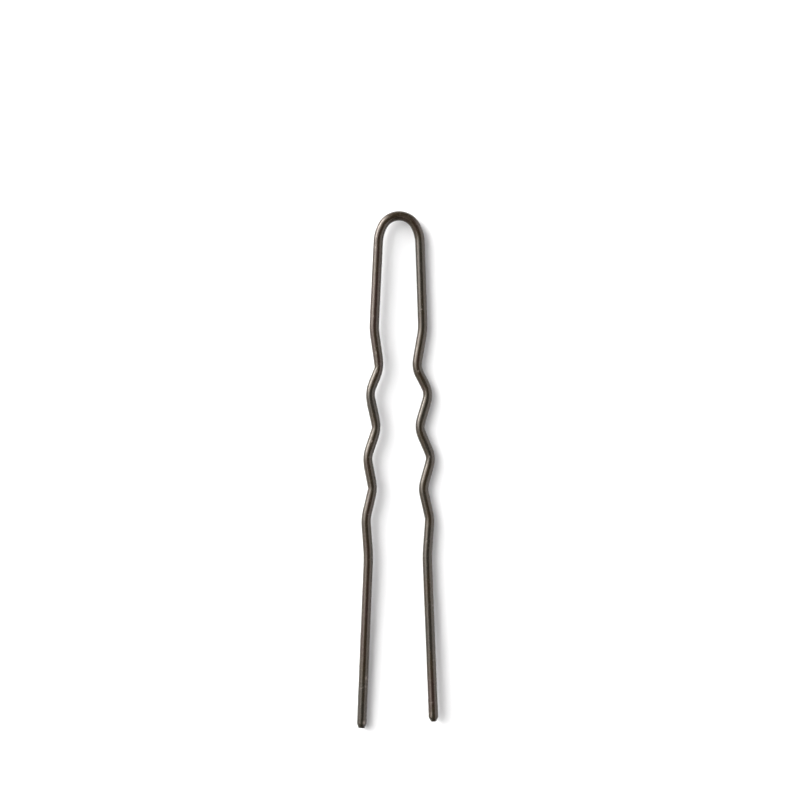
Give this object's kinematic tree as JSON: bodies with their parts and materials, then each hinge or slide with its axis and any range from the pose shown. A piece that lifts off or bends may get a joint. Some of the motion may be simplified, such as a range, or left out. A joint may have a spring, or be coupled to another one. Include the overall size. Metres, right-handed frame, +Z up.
{
  "type": "crimped hairpin",
  "caption": "Long U-shaped hairpin of round lacquered steel wire, with a narrow round bow, crimped legs and straight, slightly spread ends with chamfered tips.",
  "frame": {"origin": "under the middle of the pin's box, on the surface that it lies on", "axes": "+Y from the tips to the bow along the pin, +X to the pin's right seen from above with the bow away from the viewer, +Z up from the surface"},
  "size_m": [0.0118, 0.075, 0.0021],
  "materials": {
    "lacquered_wire": "dark brown lacquer over drawn steel wire, satin with a bright highlight"
  },
  "bodies": {
    "root": {"hairpin_wire": "lacquered_wire"}
  },
  "joints": []
}
